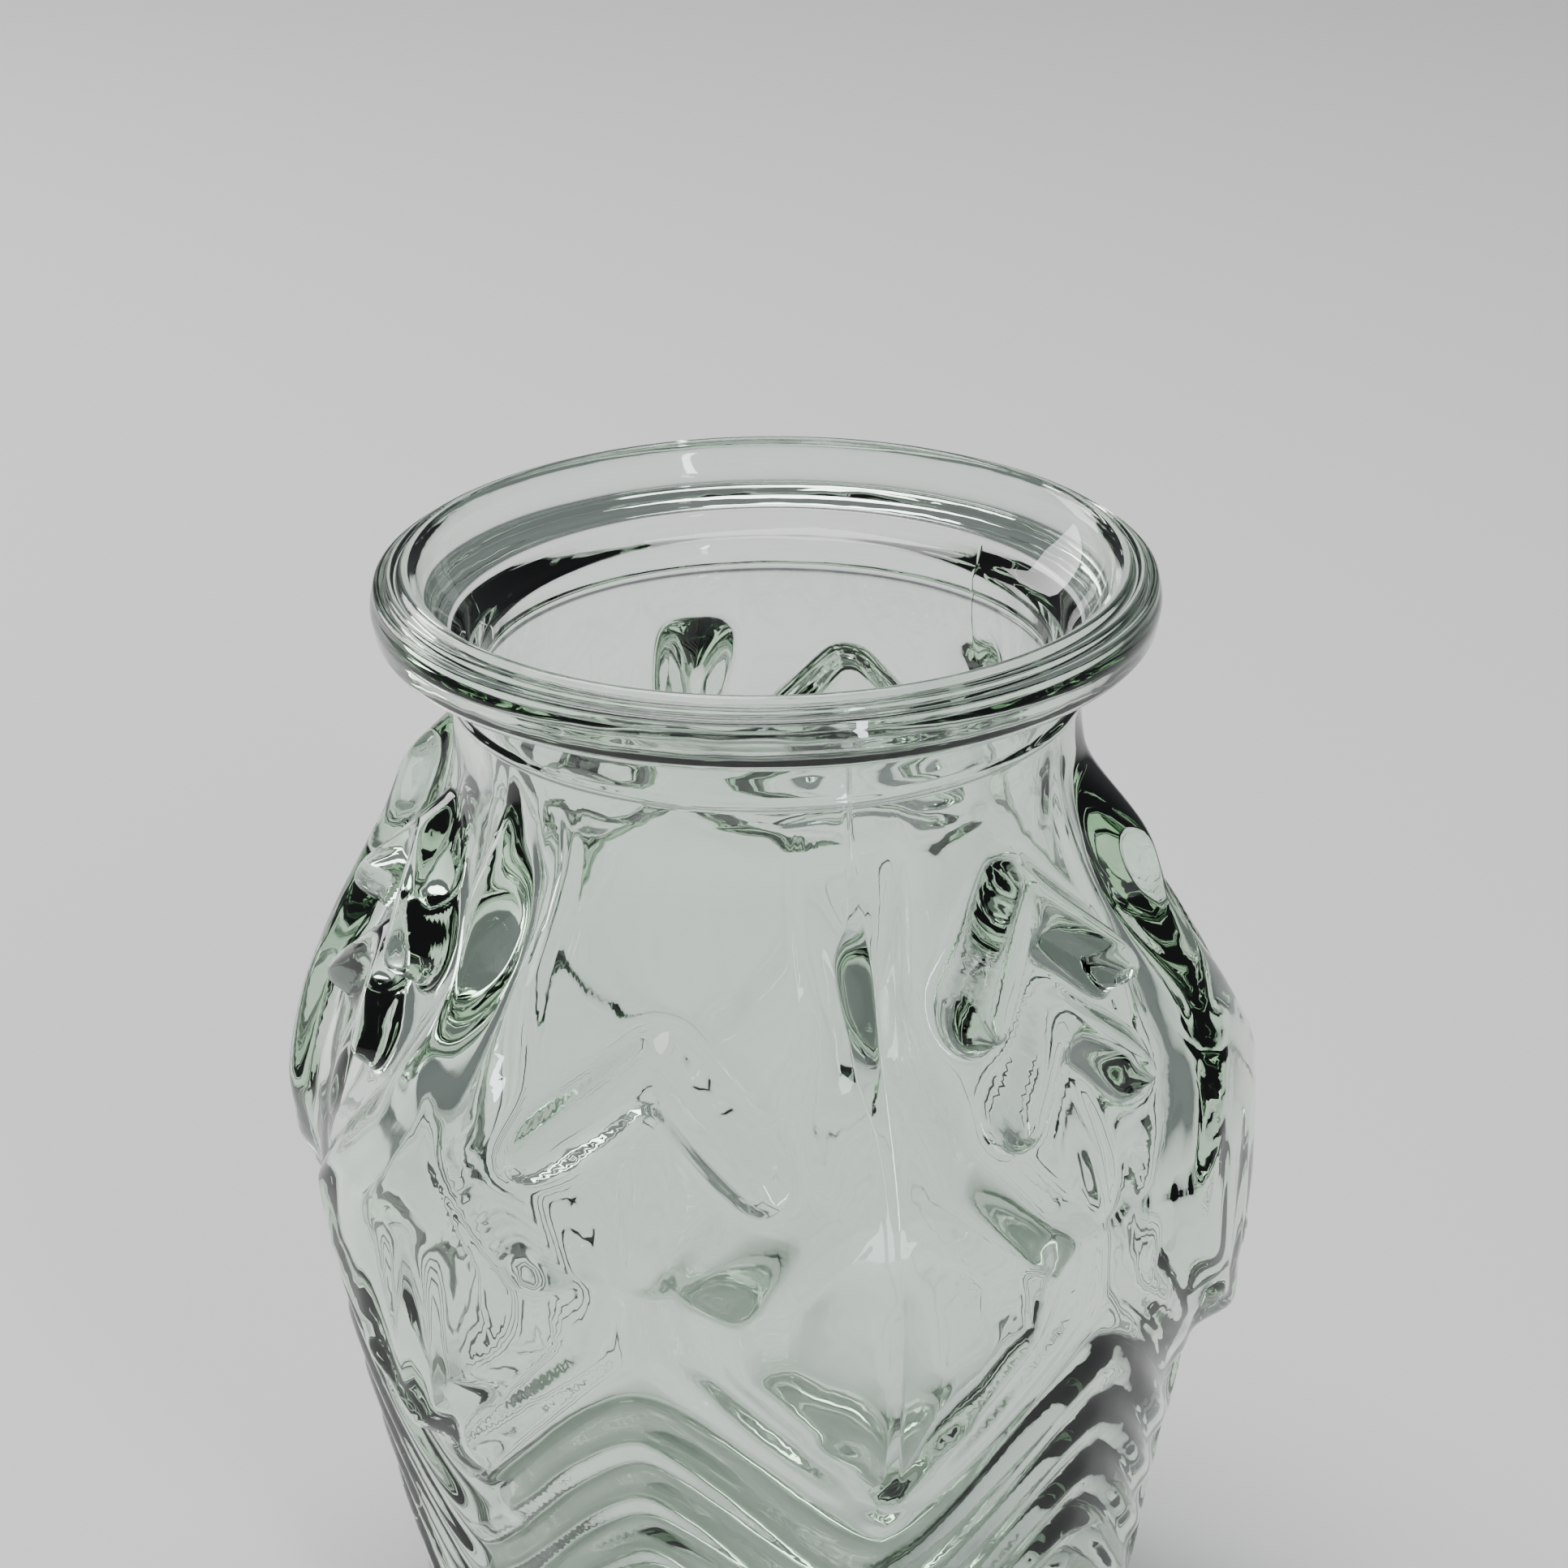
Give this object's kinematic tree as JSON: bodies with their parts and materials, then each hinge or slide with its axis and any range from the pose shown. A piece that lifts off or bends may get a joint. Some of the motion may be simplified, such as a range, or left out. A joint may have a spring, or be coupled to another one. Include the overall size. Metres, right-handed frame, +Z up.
{
  "type": "glass preserving jar",
  "caption": "Open wide-mouthed glass jar with a rounded, grooved rim bead, a short neck and a deep diamond and zigzag relief on a barrel-shaped body.",
  "frame": {"origin": "centre of the foot, on the surface that the jar stands on", "axes": "+Z up along the jar's axis; -Y faces the viewer of the reference view; the relief repeats every 60 degrees about +Z"},
  "size_m": [0.1372, 0.1372, 0.178],
  "materials": {
    "clear_glass": "clear pressed glass with a faint green tint, fire-polished"
  },
  "bodies": {
    "root": {"glass_jar": "clear_glass"}
  },
  "joints": []
}
